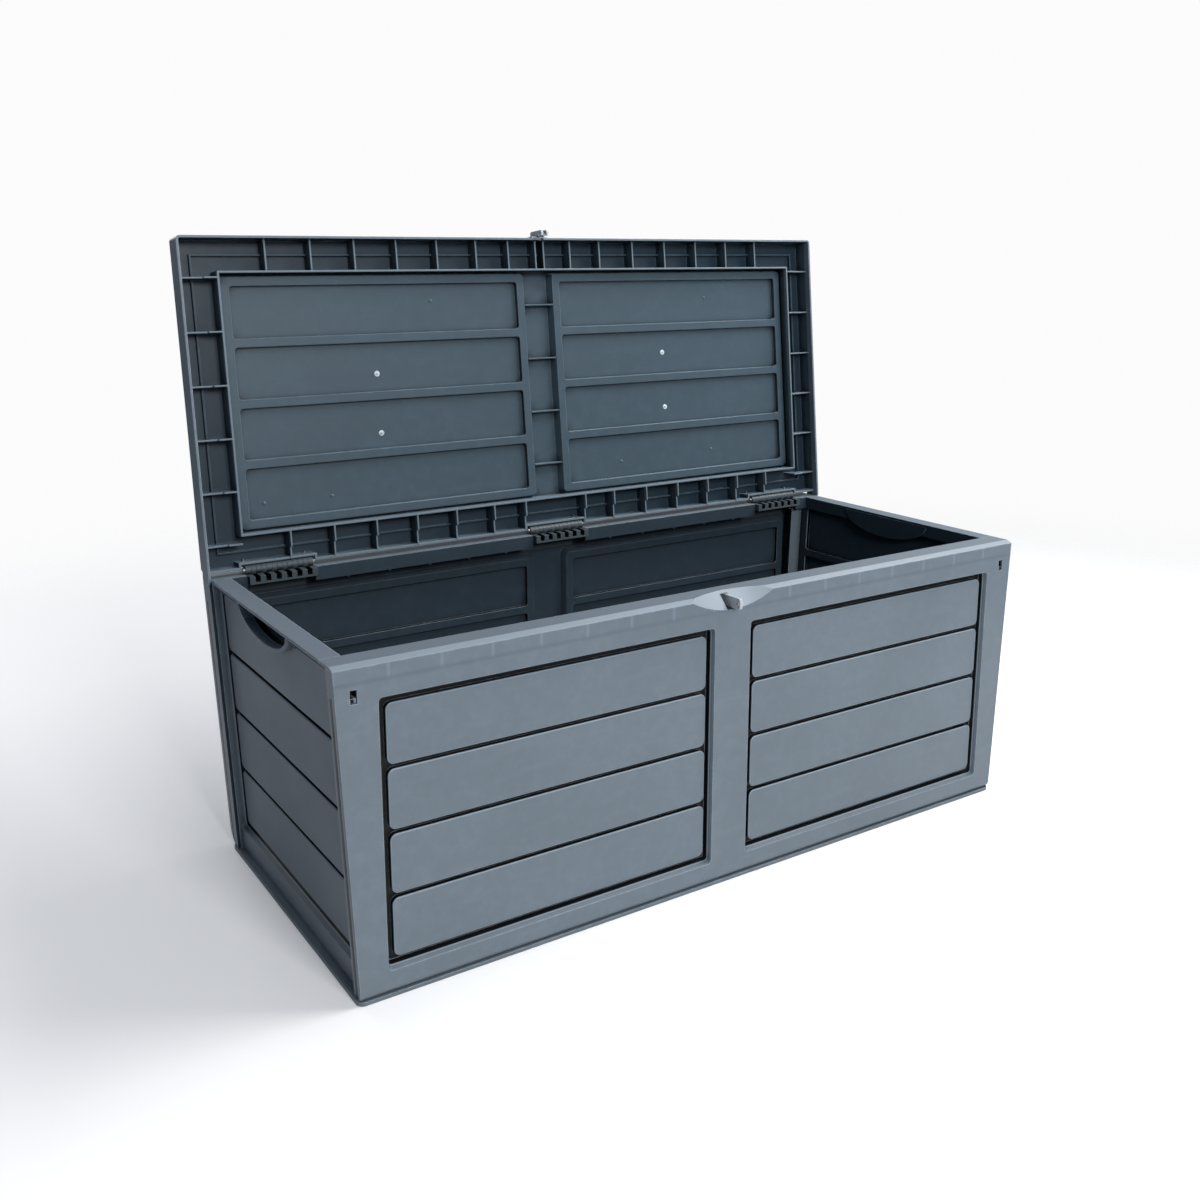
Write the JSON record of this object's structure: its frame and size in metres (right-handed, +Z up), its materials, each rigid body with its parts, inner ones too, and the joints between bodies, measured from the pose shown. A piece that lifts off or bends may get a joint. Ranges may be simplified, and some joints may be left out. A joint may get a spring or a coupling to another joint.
{
  "type": "deck storage box",
  "caption": "Outdoor deck storage box of ribbed plastic planks, open, with a hinged lid on comb hinges, end hand pockets, a front finger scoop and a padlock staple.",
  "frame": {"origin": "centre of the box's footprint, on the ground", "axes": "+X along the box to its right end seen from the front, +Y to the back where the hinges are, +Z up"},
  "size_m": [1.2, 0.5766, 0.9466],
  "materials": {
    "wall_plastic": "satin, finely textured anthracite polypropylene",
    "lid_plastic": "satin, finely textured anthracite polypropylene",
    "floor_plastic": "satin anthracite polypropylene",
    "hinge_plastic": "satin anthracite polypropylene",
    "fitting_plastic": "satin light grey polypropylene",
    "pin_steel": "plain drawn rod",
    "screw_steel": "zinc plated"
  },
  "bodies": {
    "box": {"front_panel": "wall_plastic", "back_panel": "wall_plastic", "left_end_panel": "wall_plastic", "right_end_panel": "wall_plastic", "floor_panel": "floor_plastic", "padlock_staple": "fitting_plastic", "hinge_comb_screws": "screw_steel", "hinge_comb_left": "hinge_plastic", "hinge_comb_centre": "hinge_plastic", "hinge_comb_right": "hinge_plastic", "hinge_pin_left": "pin_steel", "hinge_pin_centre": "pin_steel", "hinge_pin_right": "pin_steel"},
    "lid": {"lid_panel": "lid_plastic", "lid_hasp": "fitting_plastic", "hinge_leaf_screws": "screw_steel", "hinge_leaf_left": "hinge_plastic", "hinge_leaf_centre": "hinge_plastic", "hinge_leaf_right": "hinge_plastic"}
  },
  "joints": [
    {"name": "lid_hinge", "type": "hinge", "parent": "box", "child": "lid", "pos_m": [0, 0.225, 0.445], "axis": [1, 0, 0], "range_deg": [0, 96]}
  ]
}
